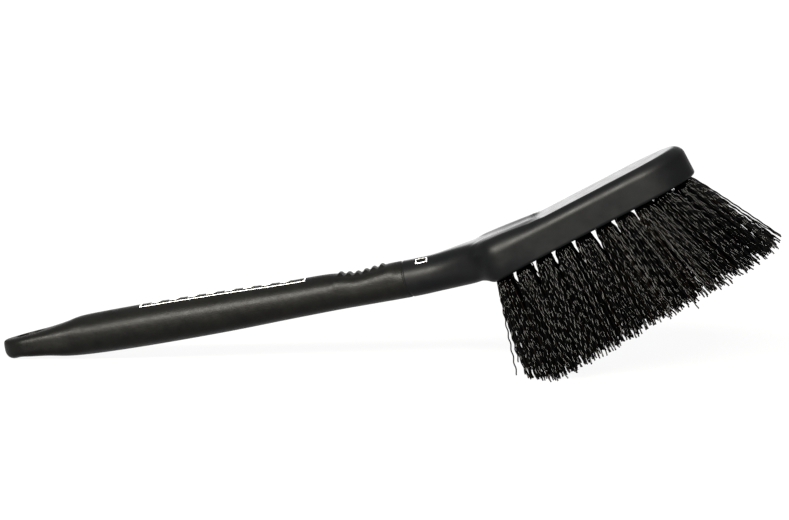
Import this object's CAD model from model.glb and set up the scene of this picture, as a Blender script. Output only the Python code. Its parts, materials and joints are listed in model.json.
"""The wheel brush's looks: a smooth moulded core, a rubber grip, printed marks and crimped bristle tufts."""

import json
import math

import bmesh
import bpy
import numpy as np
from mathutils import Matrix, Vector


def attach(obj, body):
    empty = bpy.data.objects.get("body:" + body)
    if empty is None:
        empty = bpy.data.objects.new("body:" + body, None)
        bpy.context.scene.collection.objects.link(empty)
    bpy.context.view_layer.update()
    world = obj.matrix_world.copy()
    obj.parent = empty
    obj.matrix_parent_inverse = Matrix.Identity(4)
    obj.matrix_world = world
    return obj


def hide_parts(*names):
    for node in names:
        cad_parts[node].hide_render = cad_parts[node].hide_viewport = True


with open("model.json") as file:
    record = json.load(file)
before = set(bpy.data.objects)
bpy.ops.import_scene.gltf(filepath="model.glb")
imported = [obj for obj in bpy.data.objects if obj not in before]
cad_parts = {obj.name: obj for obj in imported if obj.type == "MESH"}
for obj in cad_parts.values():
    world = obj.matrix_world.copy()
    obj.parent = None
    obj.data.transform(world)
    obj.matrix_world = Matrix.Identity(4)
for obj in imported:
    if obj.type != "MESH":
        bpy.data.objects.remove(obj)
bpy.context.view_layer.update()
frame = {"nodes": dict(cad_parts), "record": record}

MM = 0.001
TAU = 2 * math.pi

# ---------------------------------------------------------------- driving dimensions, in millimetres

HANDLE_LEN = 282.0
GRIP_LEN = 232.0
SWELL_W = 28.0
WAIST_W = 25.0
TAIL_W = 29.0
TAIL_TOP_CAP = 1.6
TAIL_LOW_CAP = 7.0
SECTION_POWER = 2.3
SHOULDER_POWER = 4.0
SHOULDER_FROM = 250.0
TAIL_POWER = 4.2
HANG_X = 16.0
HANG_R = 8.0
HANG_MID = 0.5

HEAD_LEN = 124.5
HEAD_W = 60.0
HEAD_H = 19.0
HEAD_BEND = math.radians(17.7)
HEEL_Z = -6.8
HEEL_R = 9.0
TOP_EDGE_R = 6.0
LOW_EDGE_R = 1.6
NOSE_A = 34.0
NOSE_POWER = 2.2

RIB_COUNT = 6
RIB_PITCH = 4.7
RIB_FIRST = 197.0
RIB_HALF_LEN = 6.5
RIB_HEIGHT = 1.3

TUFT_COLS = 10
ROW_MIDDLE = 3
HALF_ROWS = 2
TUFT_PITCH = 12.2
ROW_PITCH = 10.5
FIRST_TUFT = 4.7
TUFT_R = 3.0
HEEL_LEAN = math.radians(7)
NOSE_LEAN = math.radians(24)
FAN_POWER = 1.5
SIDE_LEAN = math.radians(9)
BRISTLE_H = 63.0
TRIM_RISE = math.tan(math.radians(2.9))

# Side view and width of the handle: place, underside, top, width. The last places lie inside the
# head, where the neck's ridge runs out
STATIONS = np.array([
    (0, -5.4, 5.4, TAIL_W),
    (6, -5.5, 6.0, TAIL_W),
    (10.5, -5.2, 6.4, TAIL_W),
    (16, -5.9, 6.9, TAIL_W),
    (26, -7.3, 7.8, TAIL_W - 0.5),
    (36, -9.4, 9.3, SWELL_W - 0.5),
    (46, -10.6, 11.3, SWELL_W - 0.5),
    (60, -11.3, 11.8, SWELL_W),
    (90, -11.8, 11.9, SWELL_W),
    (130, -11.6, 11.4, SWELL_W - 0.8),
    (165, -10.7, 10.6, WAIST_W + 0.8),
    (190, -10.2, 10.5, WAIST_W),
    (198, -10.1, 9.3, WAIST_W),
    (206, -10.1, 8.3, WAIST_W),
    (216, -10.1, 9.4, WAIST_W),
    (226, -10.1, 10.6, WAIST_W),
    (240, -9.9, 10.9, WAIST_W),
    (250, -9.4, 11.5, WAIST_W + 0.5),
    (262, -8.6, 13.4, WAIST_W + 6),
    (274, -7.2, 15.2, HEAD_W - 18),
    (282, -4.5, 16.5, HEAD_W - 8),
    (292, 0.0, 18.3, HEAD_W - 13),
    (306, 6.0, 20.6, HEAD_W - 30),
], dtype=float)
UNDER, TOP, WIDTH = 1, 2, 3


def along(column, x):
    """A smooth curve through the stations, as cubic steps."""
    s = STATIONS
    x = np.clip(np.asarray(x, float), s[0, 0], s[-1, 0])
    i = np.clip(np.searchsorted(s[:, 0], x, side="right") - 1, 0, len(s) - 2)
    grad = np.empty(len(s))
    grad[1:-1] = (s[2:, column] - s[:-2, column]) / (s[2:, 0] - s[:-2, 0])
    grad[0] = (s[1, column] - s[0, column]) / (s[1, 0] - s[0, 0])
    grad[-1] = (s[-1, column] - s[-2, column]) / (s[-1, 0] - s[-2, 0])
    h = s[i + 1, 0] - s[i, 0]
    t = (x - s[i, 0]) / h
    a, b = s[i, column], s[i + 1, column]
    hump = h * t * (1 - t) * (grad[i] * (1 - t) - grad[i + 1] * t)
    return a * (1 + 2 * t) * (1 - t) ** 2 + b * t * t * (3 - 2 * t) + hump


def cap(x, length):
    """0 at the tail's end, rising as a quarter circle to 1 at length."""
    return np.sqrt(np.clip(1 - np.clip(1 - np.asarray(x, float) / length, 0, 1) ** 2, 0, 1))


def blend_step(x):
    """0 up to x = 0, 1 from x = 1, and a smooth step between."""
    x = np.clip(x, 0, 1)
    return x * x * (3 - 2 * x)


def signed_power(v, p):
    return np.sign(v) * np.abs(v) ** p


# ---------------------------------------------------------------- the handle's and the head's places

hang = next(m for m in frame["record"]["mounts"] if m["name"] == "hang_hole")
handle_up = Vector(hang["axis"]).normalized()
handle_on = Vector((handle_up.z, 0, -handle_up.x))
handle_zero = Vector(hang["pos_m"]) - handle_on * HANG_X * MM - handle_up * HANG_MID * MM
HANDLE = Matrix((
    (handle_on.x * MM, 0, handle_up.x * MM, handle_zero.x),
    (0, MM, 0, 0),
    (handle_on.z * MM, 0, handle_up.z * MM, handle_zero.z),
    (0, 0, 0, 1),
))
HEAD_IN_HANDLE = Matrix.Translation((HANDLE_LEN, 0, HEEL_Z)) @ Matrix.Rotation(-HEAD_BEND, 4, "Y")
HEAD = HANDLE @ HEAD_IN_HANDLE


def placed(points, matrix):
    """Millimetre points in a part's own frame, as metres in the row's frame."""
    m = np.array(matrix)
    return points @ m[:3, :3].T + m[:3, 3]


# ---------------------------------------------------------------- mesh helpers


def new_object(name, verts, faces, smooth=True):
    mesh = bpy.data.meshes.new(name)
    mesh.from_pydata([tuple(v) for v in verts], [], faces)
    mesh.polygons.foreach_set("use_smooth", [smooth] * len(mesh.polygons))
    mesh.update()
    obj = bpy.data.objects.new(name, mesh)
    bpy.context.scene.collection.objects.link(obj)
    return obj


def ring_faces(rings, count):
    """A closed skin over rings that all have the same number of points."""
    faces = [
        (r * count + i, r * count + (i + 1) % count, (r + 1) * count + (i + 1) % count, (r + 1) * count + i)
        for r in range(rings - 1)
        for i in range(count)
    ]
    faces.append(tuple(range(count))[::-1])
    faces.append(tuple((rings - 1) * count + i for i in range(count)))
    return faces


def facing_out(obj):
    bm = bmesh.new()
    bm.from_mesh(obj.data)
    bmesh.ops.recalc_face_normals(bm, faces=bm.faces)
    bm.to_mesh(obj.data)
    bm.free()


def with_modifiers(obj):
    """Replaces the object's mesh by its modified one, and removes the modifiers."""
    graph = bpy.context.evaluated_depsgraph_get()
    baked = bpy.data.meshes.new_from_object(obj.evaluated_get(graph))
    obj.modifiers.clear()
    obj.data = baked
    baked.polygons.foreach_set("use_smooth", [True] * len(baked.polygons))


def cut_away(obj, cutter):
    mod = obj.modifiers.new("cut", "BOOLEAN")
    mod.operation = "DIFFERENCE"
    mod.solver = "EXACT"
    mod.object = cutter
    with_modifiers(obj)
    bpy.data.objects.remove(cutter, do_unlink=True)


# ---------------------------------------------------------------- materials


class Nodes:
    """A short way to write a node tree."""

    def __init__(self, name):
        self.mat = bpy.data.materials.new(name)
        self.mat.use_nodes = True
        self.tree = self.mat.node_tree
        self.shader = self.tree.nodes["Principled BSDF"]

    def add(self, kind, inputs=None, **settings):
        node = self.tree.nodes.new(kind)
        for key, value in settings.items():
            setattr(node, key, value)
        for key, value in (inputs or {}).items():
            if isinstance(value, bpy.types.NodeSocket):
                self.tree.links.new(value, node.inputs[key])
            else:
                node.inputs[key].default_value = value
        return node

    def noise(self, coords, scale, detail=3.0, roughness=0.5):
        inputs = {"Vector": coords, "Scale": scale, "Detail": detail, "Roughness": roughness}
        return self.add("ShaderNodeTexNoise", inputs).outputs["Fac"]

    def ramp(self, factor, stops):
        node = self.add("ShaderNodeValToRGB", {"Fac": factor})
        elements = node.color_ramp.elements
        while len(elements) < len(stops):
            elements.new(0.5)
        for element, (place, colour) in zip(elements, stops):
            element.position = place
            element.color = (*colour, 1)
        return node.outputs["Color"]

    def spread(self, factor, low, high):
        inputs = {"Value": factor, "From Min": 0.3, "From Max": 0.7, "To Min": low, "To Max": high}
        return self.add("ShaderNodeMapRange", inputs).outputs["Result"]

    def bump(self, height, strength, distance, under=None):
        inputs = {"Height": height, "Strength": strength, "Distance": distance}
        if under is not None:
            inputs["Normal"] = under
        return self.add("ShaderNodeBump", inputs).outputs["Normal"]

    def join(self, socket, value):
        self.tree.links.new(value, self.shader.inputs[socket])


def core_plastic():
    """Satin black plastic, polished on the faces that look straight up from the head."""
    n = Nodes("core_plastic")
    at = n.add("ShaderNodeTexCoord").outputs["Object"]
    cloud = n.noise(at, 55.0, 4.0)
    n.join("Base Color", n.ramp(cloud, [(0.3, (0.0008, 0.0009, 0.0012)), (0.7, (0.0015, 0.0016, 0.0018))]))
    head_up = (HEAD.to_3x3() @ Vector((0, 0, 1))).normalized()
    facing = n.add("ShaderNodeVectorMath", operation="DOT_PRODUCT")
    n.tree.links.new(n.add("ShaderNodeNewGeometry").outputs["Normal"], facing.inputs[0])
    facing.inputs[1].default_value = head_up
    flat = n.add("ShaderNodeMapRange", {"Value": facing.outputs["Value"], "From Min": 0.9, "From Max": 0.99})
    satin = n.spread(n.noise(at, 160.0, 5.0), 0.40, 0.49)
    polished = n.spread(n.noise(at, 160.0, 5.0), 0.12, 0.20)
    mixed = n.add("ShaderNodeMix", {0: flat.outputs["Result"], 2: satin, 3: polished})
    n.join("Roughness", mixed.outputs[0])
    grain = n.bump(n.noise(at, 2600.0, 2.0), 0.05, 0.0002)
    n.join("Normal", n.bump(n.noise(at, 190.0, 2.0), 0.08, 0.0006, grain))
    n.shader.inputs["Specular IOR Level"].default_value = 0.06
    return n.mat


def grip_rubber():
    """Matt black rubber with a fine grain and patchy wear."""
    n = Nodes("grip_rubber")
    at = n.add("ShaderNodeTexCoord").outputs["Object"]
    cloud = n.noise(at, 85.0, 5.0, 0.65)
    n.join("Base Color", n.ramp(cloud, [(0.3, (0.0008, 0.0008, 0.0008)), (0.7, (0.0019, 0.0019, 0.0017))]))
    n.join("Roughness", n.spread(n.noise(at, 240.0, 6.0, 0.7), 0.36, 0.50))
    grain = n.bump(n.noise(at, 2100.0, 3.0), 0.22, 0.0003)
    n.join("Normal", n.bump(n.noise(at, 330.0, 3.0, 0.6), 0.16, 0.0007, grain))
    n.shader.inputs["Specular IOR Level"].default_value = 0.06
    return n.mat


def filament(name, colour, low, high):
    """One filament colour, with gloss and surface that vary along the filament."""
    n = Nodes(name)
    at = n.add("ShaderNodeTexCoord").outputs["Object"]
    n.shader.inputs["Base Color"].default_value = (*colour, 1)
    n.join("Roughness", n.spread(n.noise(at, 700.0, 2.0), low, high))
    n.join("Normal", n.bump(n.noise(at, 3000.0, 1.0), 0.2, 0.0001))
    n.shader.inputs["Specular IOR Level"].default_value = 0.05
    return n.mat


def print_ink():
    """Pale ink, slightly uneven."""
    n = Nodes("print_ink")
    at = n.add("ShaderNodeTexCoord").outputs["Object"]
    mottle = n.noise(at, 900.0, 3.0)
    n.join("Base Color", n.ramp(mottle, [(0.35, (0.62, 0.62, 0.61)), (0.7, (0.82, 0.82, 0.81))]))
    n.join("Roughness", n.spread(n.noise(at, 400.0, 3.0), 0.45, 0.6))
    return n.mat


def staple_metal():
    """Bright drawn wire, dulled a little."""
    n = Nodes("staple_metal")
    at = n.add("ShaderNodeTexCoord").outputs["Object"]
    mottle = n.noise(at, 1200.0, 3.0)
    n.join("Base Color", n.ramp(mottle, [(0.3, (0.48, 0.48, 0.47)), (0.7, (0.68, 0.68, 0.66))]))
    n.join("Roughness", n.spread(n.noise(at, 2500.0, 2.0), 0.25, 0.42))
    n.shader.inputs["Metallic"].default_value = 1.0
    return n.mat


# ---------------------------------------------------------------- core: neck and head as one smooth moulding

# The grip's end reaches farther towards the head at the underside, with a shallow groove beside it
SEAM_SWEEP = 3.0
SEAM_RISE = 0.1
SEAM_POWER = 1.6
SEAM_GROOVE = 0.22
GROOVE_FROM = 0.25
GROOVE_OVER = 0.7

# The fillet between neck and head: narrow in the middle, wide at the sides
MID_BLEND = 3.0
SIDE_BLEND = 9.0
SIDE_FROM = 5.0
SIDE_OVER = 12.0

# The stretch over which the sections turn and widen: from a place along the handle to one along
# the head, round a point measured from its start; then how closely the sections are spaced
BEND_FROM = HANDLE_LEN - 20
BEND_TO = 14.0
BEND_MIDDLE = (16.0, 0.5)
BEND_STEPS = 64
SECTION_STEP = 1.2
GROOVE_STEP = 0.22
NOSE_STEPS = 90
NECK_HALF_W = 12.5
NECK_HALF_H = 10.5
HEAD_POWER = 4.8
FARTHEST = 46.0


def seam_x(height):
    """Where the grip ends; height runs from -1 at the underside to 1 at the top."""
    return GRIP_LEN + SEAM_SWEEP * np.clip(-height + SEAM_RISE, 0, 1) ** SEAM_POWER


def neck_distance(p):
    """Roughly how far, in millimetres, points in the handle's frame are outside the neck."""
    x, y, z = p[..., 0], p[..., 1], p[..., 2]
    under, top, width = along(UNDER, x), along(TOP, x), along(WIDTH, x)
    mid, half_h, half_w = (top + under) / 2, (top - under) / 2, width / 2
    groove = SEAM_GROOVE * (1 - blend_step((x - seam_x((z - mid) / half_h) - GROOVE_FROM) / GROOVE_OVER))
    half_h = half_h - groove
    half_w = half_w - groove
    shoulder = blend_step((x - SHOULDER_FROM) / (HANDLE_LEN - SHOULDER_FROM))
    power = SECTION_POWER + (SHOULDER_POWER - SECTION_POWER) * shoulder
    size = (np.abs(y / half_w) ** power + np.abs((z - mid) / half_h) ** power) ** (1 / power)
    end = x - STATIONS[-1, 0]
    return np.maximum((size - 1) * np.minimum(half_h, half_w), end)


def head_distance(p):
    """How far points in the head's frame are outside the head block."""
    u, y, v = p[..., 0], p[..., 1], p[..., 2]
    half_w = HEAD_W / 2
    nose_u = HEAD_LEN - NOSE_A
    qx = HEEL_R - u
    qy = np.abs(y) - (half_w - HEEL_R)
    box = np.minimum(np.maximum(qx, qy), 0) + np.hypot(np.maximum(qx, 0), np.maximum(qy, 0)) - HEEL_R
    over = np.maximum(u - nose_u, 0) / NOSE_A
    nose = ((over**NOSE_POWER + np.abs(y / half_w) ** NOSE_POWER) ** (1 / NOSE_POWER) - 1) * half_w
    plan = np.where(u < nose_u, box, nose)
    upper = v > HEAD_H / 2
    r = np.where(upper, TOP_EDGE_R, LOW_EDGE_R)
    rise = np.abs(v - HEAD_H / 2) - HEAD_H / 2
    a, b = plan + r, rise + r
    return np.minimum(np.maximum(a, b), 0) + np.hypot(np.maximum(a, 0), np.maximum(b, 0)) - r


def core_distance(p):
    """The neck and the head, run together with a fillet where they meet."""
    to_head = np.array(HEAD_IN_HANDLE.inverted())
    a = neck_distance(p)
    b = head_distance(p @ to_head[:3, :3].T + to_head[:3, 3])
    width = MID_BLEND + (SIDE_BLEND - MID_BLEND) * blend_step((np.abs(p[..., 1]) - SIDE_FROM) / SIDE_OVER)
    mix = np.clip(0.5 + 0.5 * (b - a) / width, 0, 1)
    return b * (1 - mix) + a * mix - width * mix * (1 - mix)


def core_sections():
    """Planes across the core, from inside the grip to the nose: centre, tilt, and half sizes."""
    sections = []
    straight = np.concatenate([
        [GRIP_LEN - 5, GRIP_LEN - 2.5, GRIP_LEN - 0.8],
        np.arange(GRIP_LEN, GRIP_LEN + 5.6, GROOVE_STEP),
        np.arange(GRIP_LEN + 6.2, BEND_FROM, SECTION_STEP),
    ])
    for x in straight:
        mid = float(along(TOP, x) + along(UNDER, x)) / 2
        sections.append(((x, 0, mid), 0.0, NECK_HALF_W, NECK_HALF_H, SECTION_POWER))
    start_z = float(along(TOP, BEND_FROM) + along(UNDER, BEND_FROM)) / 2
    bend_start = np.array([straight[-1] + SECTION_STEP, 0, start_z])
    bend_end = np.array(HEAD_IN_HANDLE @ Vector((BEND_TO, 0, HEAD_H / 2)))
    bend_mid = np.array([bend_start[0] + BEND_MIDDLE[0], 0, bend_start[2] + BEND_MIDDLE[1]])
    for k in range(BEND_STEPS):
        t = k / BEND_STEPS
        centre = (1 - t) ** 2 * bend_start + 2 * t * (1 - t) * bend_mid + t * t * bend_end
        wide = blend_step(t * 1.4 - 0.2)
        half_w = NECK_HALF_W + (HEAD_W / 2 - NECK_HALF_W) * wide
        half_h = NECK_HALF_H + (HEAD_H / 2 - NECK_HALF_H) * wide
        power = SECTION_POWER + (HEAD_POWER - SECTION_POWER) * wide
        sections.append((tuple(centre), HEAD_BEND * blend_step(t), half_w, half_h, power))
    flat = np.arange(BEND_TO, HEAD_LEN - NOSE_A, 1.3)
    round_end = HEAD_LEN - NOSE_A + (NOSE_A - 0.02) * np.sin(np.linspace(0, 1, NOSE_STEPS) * math.pi / 2)
    for u in np.concatenate([flat, round_end]):
        centre = HEAD_IN_HANDLE @ Vector((float(u), 0, HEAD_H / 2))
        left = max(0.0, (u - (HEAD_LEN - NOSE_A)) / NOSE_A)
        half_w = HEAD_W / 2 * (1 - left**NOSE_POWER) ** (1 / NOSE_POWER)
        sections.append((tuple(centre), HEAD_BEND, max(half_w, 0.4), HEAD_H / 2, HEAD_POWER))
    return sections


def core_mesh():
    """The core's skin: along rays from each section's centre, out to the surface, found by halving."""
    count = 192
    turn = TAU * (np.arange(count) + 0.5) / count
    centres, outward = [], []
    for centre, tilt, half_w, half_h, power in core_sections():
        across = half_w * signed_power(np.cos(turn), 2 / power)
        up = half_h * signed_power(np.sin(turn), 2 / power)
        ray = np.stack([-up * math.sin(tilt), across, up * math.cos(tilt)], -1)
        outward.append(ray / np.linalg.norm(ray, axis=1, keepdims=True))
        centres.append(centre)
    centres = np.array(centres)[:, None, :]
    outward = np.array(outward)
    low = np.zeros(outward.shape[:2])
    high = np.full(outward.shape[:2], -1.0)
    for reach in np.arange(0.25, FARTHEST, 0.75):
        outside = core_distance(centres + outward * reach) > 0
        fresh = outside & (high < 0)
        high[fresh] = reach
        low[~outside & (high < 0)] = reach
    high[high < 0] = FARTHEST
    for _ in range(22):
        mid = (low + high) / 2
        outside = core_distance(centres + outward * mid[..., None]) > 0
        high = np.where(outside, mid, high)
        low = np.where(outside, low, mid)
    points = (centres + outward * low[..., None]).reshape(-1, 3)
    obj = new_object("core", placed(points, HANDLE), ring_faces(len(centres), count))
    facing_out(obj)
    return obj


# ---------------------------------------------------------------- grip: overmould with ribs and hang hole

GRIP_VOXEL = 0.52
TAIL_FROM = 14.0
TAIL_OVER = 40.0
RIB_THICK = 0.3
RIB_END = 1.6
CUTTER_HALF_H = 15.0
SEAM_ZONE = GRIP_LEN - 12
REST_FROM = 190.0
REST_TO = 230.0
REST_EASE = 6.0
REST_FLATNESS = 0.7


def grip_section(x, count):
    """One cross-section of the grip, flatter round the hang hole and with the thumb rest's ribs on top."""
    turn = TAU * np.arange(count) / count
    under = float(along(UNDER, x) * cap(x, TAIL_LOW_CAP))
    top = float(along(TOP, x) * cap(x, TAIL_TOP_CAP))
    half_w = float(along(WIDTH, x) * cap(x, TAIL_W / 2)) / 2
    mid, half_h = (top + under) / 2, (top - under) / 2
    power = TAIL_POWER + (SECTION_POWER - TAIL_POWER) * float(blend_step((x - TAIL_FROM) / TAIL_OVER))
    y = half_w * signed_power(np.cos(turn), 2 / power)
    flat = float(blend_step((x - REST_FROM) / REST_EASE) * blend_step((REST_TO - x) / REST_EASE))
    top_power = power + REST_FLATNESS * flat
    y = np.where(np.sin(turn) > 0, half_w * signed_power(np.cos(turn), 2 / top_power), y)
    z = mid + half_h * signed_power(np.sin(turn), 2 / np.where(np.sin(turn) > 0, top_power, power))
    rib = 0.0
    for k in range(RIB_COUNT):
        off = (x - RIB_FIRST - RIB_PITCH * k) / (RIB_PITCH * RIB_THICK)
        rib += math.sqrt(max(0.0, 1 - off * off))
    ends = blend_step((RIB_HALF_LEN + RIB_END / 2 - np.abs(y)) / RIB_END)
    z = z + np.where(np.sin(turn) > 0, RIB_HEIGHT * rib * ends, 0)
    place = np.full(count, float(x))
    if x > SEAM_ZONE:
        seam = seam_x((z - mid) / half_h)
        place = SEAM_ZONE + (x - SEAM_ZONE) * (seam - SEAM_ZONE) / (GRIP_LEN - SEAM_ZONE)
    return np.stack([place, y, z], -1)


def hang_cutter():
    """A round peg right through the tail."""
    count = 72
    turn = TAU * np.arange(count) / count
    x, y = HANG_X + HANG_R * np.cos(turn), HANG_R * np.sin(turn)
    ends = [np.stack([x, y, np.full(count, z)], -1) for z in (-CUTTER_HALF_H, CUTTER_HALF_H)]
    points = np.concatenate(ends)
    obj = new_object("hang_cutter", placed(points, HANDLE), ring_faces(2, count))
    facing_out(obj)
    return obj


def grip_mesh():
    """The grip's skin with the hang hole cut out, then made even and softened."""
    count = 120
    places = np.concatenate([
        TAIL_LOW_CAP * (1 - np.cos(np.linspace(0.05, 1, 20) * math.pi / 2)),
        np.arange(TAIL_LOW_CAP + 0.6, 50, 0.9),
        np.arange(50.5, RIB_FIRST - 4, 1.6),
        np.arange(RIB_FIRST - 3.5, RIB_FIRST + RIB_PITCH * RIB_COUNT, 0.3),
        np.arange(RIB_FIRST + RIB_PITCH * RIB_COUNT + 0.4, GRIP_LEN, 0.8),
        [GRIP_LEN],
    ])
    points = np.concatenate([grip_section(x, count) for x in places])
    obj = new_object("grip_skin", placed(points, HANDLE), ring_faces(len(places), count))
    facing_out(obj)
    cut_away(obj, hang_cutter())
    remesh = obj.modifiers.new("even", "REMESH")
    remesh.mode = "VOXEL"
    remesh.voxel_size = GRIP_VOXEL * MM
    remesh.use_smooth_shade = True
    smooth = obj.modifiers.new("soften", "SMOOTH")
    smooth.factor = 0.5
    smooth.iterations = 4
    with_modifiers(obj)
    return obj


# ---------------------------------------------------------------- printed marks, as thin films on the surface

INK_LIFT = 0.10
FRAME_FROM = 82.0
FRAME_TO = 177.0
FRAME_HALF_W = 6.6
FRAME_LINE = 0.55
BAR_COUNT = 8
BAR_FROM = 89.0
BAR_PITCH = 10.6
BAR_LEN = 4.4
BAR_LOW = -3.0
BAR_HIGH = 4.6
BAR_SLANT = 0.3
SQUARE_FROM = 240.0
SQUARE_TO = 246.5
SQUARE_LOW = -8.8
SQUARE_HIGH = -4.2
SQUARE_LINE = 0.4


def on_top(x, y):
    """A point just above the handle's upper surface, in the handle's frame."""
    under, top, width = float(along(UNDER, x)), float(along(TOP, x)), float(along(WIDTH, x))
    mid, half_h, half_w = (top + under) / 2, (top - under) / 2, width / 2
    z = mid + half_h * max(0.0, 1 - abs(y / half_w) ** SECTION_POWER) ** (1 / SECTION_POWER)
    return (x, y, z + INK_LIFT)


def ink_patch(verts, faces, x0, x1, y0, y1, slant=0.0):
    """A printed rectangle, slanted along x by slant times its y, following the surface in small steps."""
    nx = max(2, int((x1 - x0) / 1.5) + 1)
    ny = max(2, int((y1 - y0) / 0.7) + 1)
    start = len(verts)
    for i in range(nx + 1):
        for j in range(ny + 1):
            y = y0 + (y1 - y0) * j / ny
            verts.append(on_top(x0 + (x1 - x0) * i / nx + slant * y, y))
    for i in range(nx):
        for j in range(ny):
            a = start + i * (ny + 1) + j
            faces.append((a, a + ny + 1, a + ny + 2, a + 1))


def outline(verts, faces, x0, x1, y0, y1, line):
    """The four sides of a printed rectangle."""
    ink_patch(verts, faces, x0, x1, y0, y0 + line)
    ink_patch(verts, faces, x0, x1, y1 - line, y1)
    ink_patch(verts, faces, x0, x0 + line, y0 + line, y1 - line)
    ink_patch(verts, faces, x1 - line, x1, y0 + line, y1 - line)


def print_film(name, verts, faces):
    obj = new_object(name, placed(np.array(verts), HANDLE), faces)
    facing_out(obj)
    return obj


def grip_print():
    """A framed row of plain slanted bars along the palm swell."""
    verts, faces = [], []
    outline(verts, faces, FRAME_FROM, FRAME_TO, -FRAME_HALF_W, FRAME_HALF_W, FRAME_LINE)
    for k in range(BAR_COUNT):
        start = BAR_FROM + BAR_PITCH * k
        ink_patch(verts, faces, start, start + BAR_LEN, BAR_LOW, BAR_HIGH, BAR_SLANT)
    return print_film("grip_print", verts, faces)


def neck_print():
    """A small plain square outline on the neck."""
    verts, faces = [], []
    outline(verts, faces, SQUARE_FROM, SQUARE_TO, SQUARE_LOW, SQUARE_HIGH, SQUARE_LINE)
    return print_film("neck_print", verts, faces)


# ---------------------------------------------------------------- bristles

FILAMENTS = 32
FILAMENT_R = 0.42
FILAMENT_SIDES = 5
LONGEST = 84.0
ROOT_DEPTH = 3.0

# The crimp's wave: its length, its height, the most of it that goes sideways, and how much it
# shifts from filament to filament and across a tuft, in radians
CRIMP_LEN = 7.0
CRIMP = 0.27
CRIMP_TO_SIDE = 1.5
PHASE_JITTER = 0.9
PHASE_SWEEP = 2.5
RING_STEP = CRIMP_LEN / 8

# How a tuft opens: its reach at the tips, and the power of the curve that gets there; both
# change from the heel to the nose, and the last tufts are tucked in on their outer side
TIP_REACH = 8.4
REACH_GAIN = 0.14
REACH_JITTER = 0.06
REACH_MOST = 1.08
SPLAY = 0.50
SPLAY_FALL = 0.025
NOSE_TUCK = 0.42
TUFT_TILT = math.radians(1.3)
SWERVE = 1.3

# The golden angle spaces the filaments evenly over a tuft's round section
GOLDEN_TURN = 2.399963
TURN_JITTER = 0.12

# The first tufts bow back a little and then curl forward at their tips, and a few filaments at
# the heel stray backward
HEEL_BEND = 5.0
HEEL_COLS = 3
HEEL_BOW = 0.45
STRAY_SHARE = 0.09
STRAY_REACH = 6.0

# How unevenly the tips are cut, and how far they stay above the table
TIP_JITTER = 0.9
TIP_SCATTER = 0.5
TABLE_GAP = 0.35

# Shares of black, brown and grey filaments
FILAMENT_SHARES = (0.6, 0.2, 0.2)


def tuft_axes(row, col, tilt):
    """The tuft's direction and its two cross directions, in the head's frame."""
    a = -HEEL_LEAN + (HEEL_LEAN + NOSE_LEAN) * (col / (TUFT_COLS - 1)) ** FAN_POWER + tilt[0]
    b = SIDE_LEAN * row / HALF_ROWS + tilt[1]
    down = np.array([math.sin(a), math.cos(a) * math.sin(b), -math.cos(a) * math.cos(b)])
    across = np.array([math.cos(a), -math.sin(a) * math.sin(b), math.sin(a) * math.cos(b)])
    side = np.array([0, math.cos(b), math.sin(b)])
    return down, across, side


def filament_paths(row, col, rng):
    """The middle lines of one tuft's filaments, in the head's frame."""
    down, across, side = tuft_axes(row, col, rng.normal(0, TUFT_TILT, 2))
    s = np.arange(-ROOT_DEPTH, LONGEST, RING_STEP)
    out = np.clip(s, 0, None) / BRISTLE_H
    paths = []
    phase, sweep = rng.uniform(0, TAU), rng.uniform(-PHASE_SWEEP, PHASE_SWEEP)
    bend = HEEL_BEND * max(0, 1 - col / HEEL_COLS) * (out**2 - HEEL_BOW * out)
    for k in range(FILAMENTS):
        rho = math.sqrt((k + 0.5) / FILAMENTS)
        turn = k * GOLDEN_TURN + rng.normal(0, TURN_JITTER)
        start = (TUFT_R - FILAMENT_R) * rho
        reach = (TIP_REACH + REACH_GAIN * col) * min(REACH_MOST, rho + rng.normal(0, REACH_JITTER))
        spread = start + (reach - start) * out ** (SPLAY - SPLAY_FALL * col)
        if col == TUFT_COLS - 1 and math.cos(turn) > 0:
            spread = spread * (1 - NOSE_TUCK * math.cos(turn) * out)
        swerve = rng.normal(0, SWERVE, 2)[:, None] * out**1.5
        wave = CRIMP * rng.uniform(0.8, 1.15) * np.clip(0.25 + s / 4, 0.25, 1)
        beat = TAU * s / (CRIMP_LEN * rng.uniform(0.985, 1.015)) + phase
        beat = beat + sweep * math.cos(turn) + rng.normal(0, PHASE_JITTER)
        ripple = wave * np.sin(beat)
        on_across = spread * math.cos(turn) + swerve[0] + bend + ripple * rng.uniform(0.4, 1.3)
        on_side = spread * math.sin(turn) + swerve[1] + CRIMP_TO_SIDE * rng.uniform(-1, 1) * ripple
        if col == 0 and rng.random() < STRAY_SHARE:
            on_across = on_across - bend - STRAY_REACH * rng.uniform(0.5, 1) * out
        root = np.array([FIRST_TUFT + TUFT_PITCH * col, ROW_PITCH * row, 0])
        path = root + s[:, None] * down + on_across[:, None] * across + on_side[:, None] * side
        paths.append(path)
    return paths


def trimmed(path, rng):
    """The part of a filament above the trimmed face and the table."""
    face = path[:, 2] + BRISTLE_H - TRIM_RISE * path[:, 0]
    face = face + rng.normal(0, TIP_JITTER) + rng.exponential(TIP_SCATTER) - TIP_SCATTER
    table = placed(path, HEAD)[:, 2] / MM - TABLE_GAP - rng.exponential(TIP_SCATTER)
    room = np.minimum(face, table)
    past = np.nonzero(room < 0)[0]
    if len(past) == 0:
        return path
    k = past[0]
    share = room[k - 1] / (room[k - 1] - room[k])
    return np.vstack([path[:k], path[k - 1] + share * (path[k] - path[k - 1])])


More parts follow.
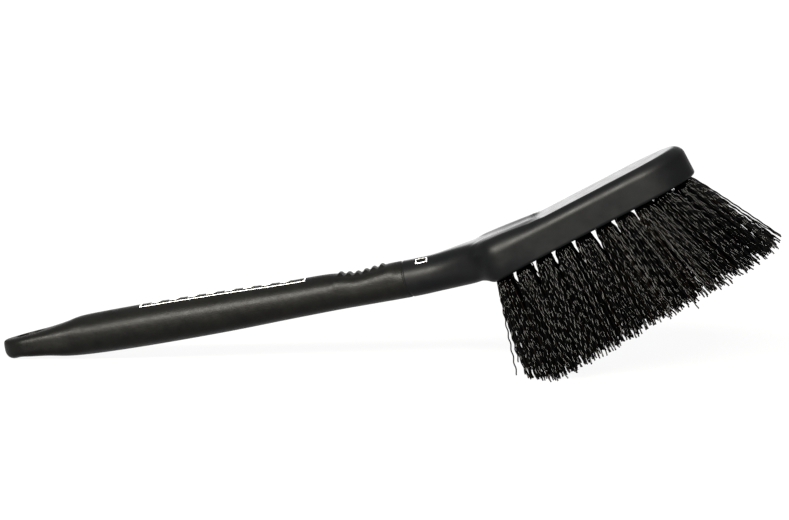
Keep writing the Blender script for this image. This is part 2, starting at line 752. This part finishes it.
def tuft_mesh(name, row, col, rng):
    """One tuft's filaments as thin tubes, each in one of the three filament materials."""
    verts, faces, slots = [], [], []
    start = 0
    side = np.arange(FILAMENT_SIDES)[None, :]
    spin = TAU * np.arange(FILAMENT_SIDES) / FILAMENT_SIDES
    for path in filament_paths(row, col, rng):
        path = trimmed(path, rng)
        ahead = np.gradient(path, axis=0)
        ahead /= np.linalg.norm(ahead, axis=1, keepdims=True)
        left = np.cross(ahead, (0, 1, 0))
        left /= np.linalg.norm(left, axis=1, keepdims=True)
        over = np.cross(left, ahead)
        r = FILAMENT_R * rng.uniform(0.9, 1.1)
        rings = path[:, None, :] + r * (
            np.cos(spin)[None, :, None] * left[:, None, :] + np.sin(spin)[None, :, None] * over[:, None, :]
        )
        n = len(path)
        i = np.arange(n - 1)[:, None] * FILAMENT_SIDES + side
        j = np.arange(n - 1)[:, None] * FILAMENT_SIDES + (side + 1) % FILAMENT_SIDES
        quads = np.stack([i, i + FILAMENT_SIDES, j + FILAMENT_SIDES, j], -1).reshape(-1, 4) + start
        verts.append(rings.reshape(-1, 3))
        faces.append(quads)
        slots.append(np.full(len(quads), rng.choice(3, p=FILAMENT_SHARES)))
        start += n * FILAMENT_SIDES
    verts = placed(np.vstack(verts), HEAD)
    faces = np.vstack(faces)
    mesh = bpy.data.meshes.new(name)
    mesh.vertices.add(len(verts))
    mesh.vertices.foreach_set("co", verts.ravel())
    mesh.loops.add(faces.size)
    mesh.loops.foreach_set("vertex_index", faces.ravel())
    mesh.polygons.add(len(faces))
    mesh.polygons.foreach_set("loop_start", np.arange(len(faces)) * 4)
    for mat in filament_materials:
        mesh.materials.append(mat)
    mesh.polygons.foreach_set("material_index", np.concatenate(slots))
    mesh.polygons.foreach_set("use_smooth", np.ones(len(faces), bool))
    mesh.update(calc_edges=True)
    obj = bpy.data.objects.new(name, mesh)
    bpy.context.scene.collection.objects.link(obj)
    return obj


# ---------------------------------------------------------------- build the pieces


def finish_piece(obj, material, slot, *nodes):
    """Gives a piece its material, its body, its slot and the nodes that it stands in for."""
    if material is not None:
        obj.data.materials.clear()
        obj.data.materials.append(material)
    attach(obj, "root")
    if nodes:
        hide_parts(*nodes)


finish_piece(core_mesh(), core_plastic(), "body_plastic", "body_core")
finish_piece(grip_mesh(), grip_rubber(), "grip_rubber", "grip")
ink = print_ink()
finish_piece(grip_print(), ink, "grip_rubber")
finish_piece(neck_print(), ink, "body_plastic")

FIRST_SEED = 700
filament_materials = [
    filament("filament_black", (0.0003, 0.0003, 0.0003), 0.05, 0.10),
    filament("filament_brown", (0.0009, 0.0006, 0.0004), 0.05, 0.10),
    filament("filament_grey", (0.0006, 0.0006, 0.0006), 0.04, 0.08),
]
tuft_nodes = sorted(n for n in frame["nodes"] if n.startswith("tuft_") and n != "tuft_staples")
for index, node in enumerate(tuft_nodes):
    _, row_name, col_name = node.split("_")
    rng = np.random.default_rng(FIRST_SEED + index)
    tuft = tuft_mesh(f"bristles_{row_name}_{col_name}", int(row_name) - ROW_MIDDLE, int(col_name) - 1, rng)
    finish_piece(tuft, None, "bristle", node)

staples = frame["nodes"]["tuft_staples"]
metal = staple_metal()
for holder in staples.material_slots:
    holder.material = metal

# ---------------------------------------------------------------- floor, light and camera

CAMERA_AIM = (0.22133, 0, 0.05649)
CAMERA_AZIMUTH = math.radians(4)
CAMERA_ELEVATION = math.radians(6)
CAMERA_ROLL = math.radians(0.96)
CAMERA_DISTANCE = 1.12
CAMERA_LENS = 91.25

SOFTBOX_AT = (-0.2, -1.5, 0.86)
SOFTBOX_AIM = (0, 0, 0.06)
SOFTBOX_SIZE = (1.3, 0.26)
SOFTBOX_POWER = 260
SOFTBOX_TINT = (1.0, 0.97, 0.87)

# Strengths of the surroundings: as seen, low at the back, elsewhere, and overhead
SEEN_WHITE = 1.1
BRIGHT_SIDE = 1.5
DIM_SIDE = 0.3
OVERHEAD = 0.9

# How far up or back a direction points, from 0 to 1, where each light begins and where it is full:
# the bright side by height and by depth, and the overhead light by height
LOW_LIMITS = (0.55, 0.2)
BEHIND_LIMITS = (0.8, 0.95)
OVERHEAD_LIMITS = (0.4, 0.9)

# The floor's half length, its own light near the brush and farther off, and where that changes
FLOOR_HALF = 12.0
NEAR_GLOW = 0.93
FAR_GLOW = 1.02
GLOW_LIMITS = (0.25, 1.0)


def floor():
    """A dark floor with white light of its own, so that it looks like its backdrop and hides shadows."""
    points = [(FLOOR_HALF * x, FLOOR_HALF * y, 0) for x, y in ((-1, -1), (1, -1), (1, 1), (-1, 1))]
    obj = new_object("floor", points, [(0, 1, 2, 3)], smooth=False)
    n = Nodes("floor_paper")
    at = n.add("ShaderNodeTexCoord").outputs["Object"]
    mottle = n.noise(at, 6.0, 2.0)
    n.join("Base Color", n.ramp(mottle, [(0.3, (0.032, 0.032, 0.032)), (0.7, (0.037, 0.037, 0.037))]))
    n.shader.inputs["Roughness"].default_value = 1.0
    n.shader.inputs["Specular IOR Level"].default_value = 0.0
    n.shader.inputs["Emission Color"].default_value = (1, 1, 1, 1)
    away = n.add("ShaderNodeVectorMath", {0: at}, operation="LENGTH").outputs["Value"]
    near, far = GLOW_LIMITS
    ring = {"Value": away, "From Min": near, "From Max": far, "To Min": NEAR_GLOW, "To Max": FAR_GLOW}
    n.join("Emission Strength", n.add("ShaderNodeMapRange", ring).outputs["Result"])
    obj.data.materials.append(n.mat)


def softbox():
    """The one lamp: a long, narrow, warm rectangle in front of the brush and above it."""
    data = bpy.data.lights.new("front_softbox", "AREA")
    data.shape = "RECTANGLE"
    data.size, data.size_y = SOFTBOX_SIZE
    data.energy = SOFTBOX_POWER
    data.color = SOFTBOX_TINT
    obj = bpy.data.objects.new("front_softbox", data)
    obj.location = SOFTBOX_AT
    obj.rotation_euler = (Vector(SOFTBOX_AIM) - Vector(SOFTBOX_AT)).to_track_quat("-Z", "Y").to_euler()
    bpy.context.scene.collection.objects.link(obj)


def studio():
    """White to look at; in reflections bright low at the back, fairly bright overhead, and dim elsewhere."""
    world = bpy.data.worlds.new("studio")
    bpy.context.scene.world = world
    world.use_nodes = True
    tree = world.node_tree
    back = tree.nodes["Background"]
    back.inputs["Color"].default_value = (1, 1, 1, 1)

    def node(kind, inputs, **settings):
        made = tree.nodes.new(kind)
        for key, value in settings.items():
            setattr(made, key, value)
        for key, value in inputs.items():
            if isinstance(value, bpy.types.NodeSocket):
                tree.links.new(value, made.inputs[key])
            else:
                made.inputs[key].default_value = value
        return made

    ways = tree.nodes.new("ShaderNodeTexCoord").outputs["Generated"]
    split = node("ShaderNodeSeparateXYZ", {"Vector": ways})
    up, back_way = split.outputs["Z"], split.outputs["Y"]

    def grows(way, limits, low=0.0, high=1.0):
        inputs = {"Value": way, "From Min": limits[0], "From Max": limits[1], "To Min": low, "To Max": high}
        return node("ShaderNodeMapRange", inputs)

    low = grows(up, LOW_LIMITS)
    behind = grows(back_way, BEHIND_LIMITS)
    both = {0: low.outputs["Result"], 1: behind.outputs["Result"]}
    share = node("ShaderNodeMath", both, operation="MULTIPLY")
    high = grows(up, OVERHEAD_LIMITS, DIM_SIDE, OVERHEAD)
    lit = node("ShaderNodeMix", {0: share.outputs["Value"], 2: high.outputs["Result"], 3: BRIGHT_SIDE})
    seen = tree.nodes.new("ShaderNodeLightPath").outputs["Is Camera Ray"]
    pick = node("ShaderNodeMix", {0: seen, 2: lit.outputs[0], 3: SEEN_WHITE})
    tree.links.new(pick.outputs[0], back.inputs["Strength"])


def camera():
    """The photo's view: from the front, slightly above the brush, and rolled a little."""
    look_at = handle_zero + Vector(CAMERA_AIM)
    azimuth, elevation, roll = CAMERA_AZIMUTH, CAMERA_ELEVATION, CAMERA_ROLL
    level = math.cos(elevation)
    ahead = Vector((-math.sin(azimuth) * level, math.cos(azimuth) * level, -math.sin(elevation)))
    right = Vector((math.cos(azimuth), math.sin(azimuth), 0))
    up = right.cross(ahead)
    tilted_right = math.cos(roll) * right + math.sin(roll) * up
    tilted_up = math.cos(roll) * up - math.sin(roll) * right
    data = bpy.data.cameras.new("camera")
    data.sensor_width = 36
    data.lens = CAMERA_LENS
    obj = bpy.data.objects.new("camera", data)
    turn = Matrix((tilted_right, tilted_up, -ahead)).transposed().to_4x4()
    obj.matrix_world = Matrix.Translation(look_at - ahead * CAMERA_DISTANCE) @ turn
    bpy.context.scene.collection.objects.link(obj)
    bpy.context.scene.camera = obj


studio()
floor()
softbox()
camera()
bpy.context.scene.view_settings.view_transform = "Standard"
bpy.context.view_layer.update()
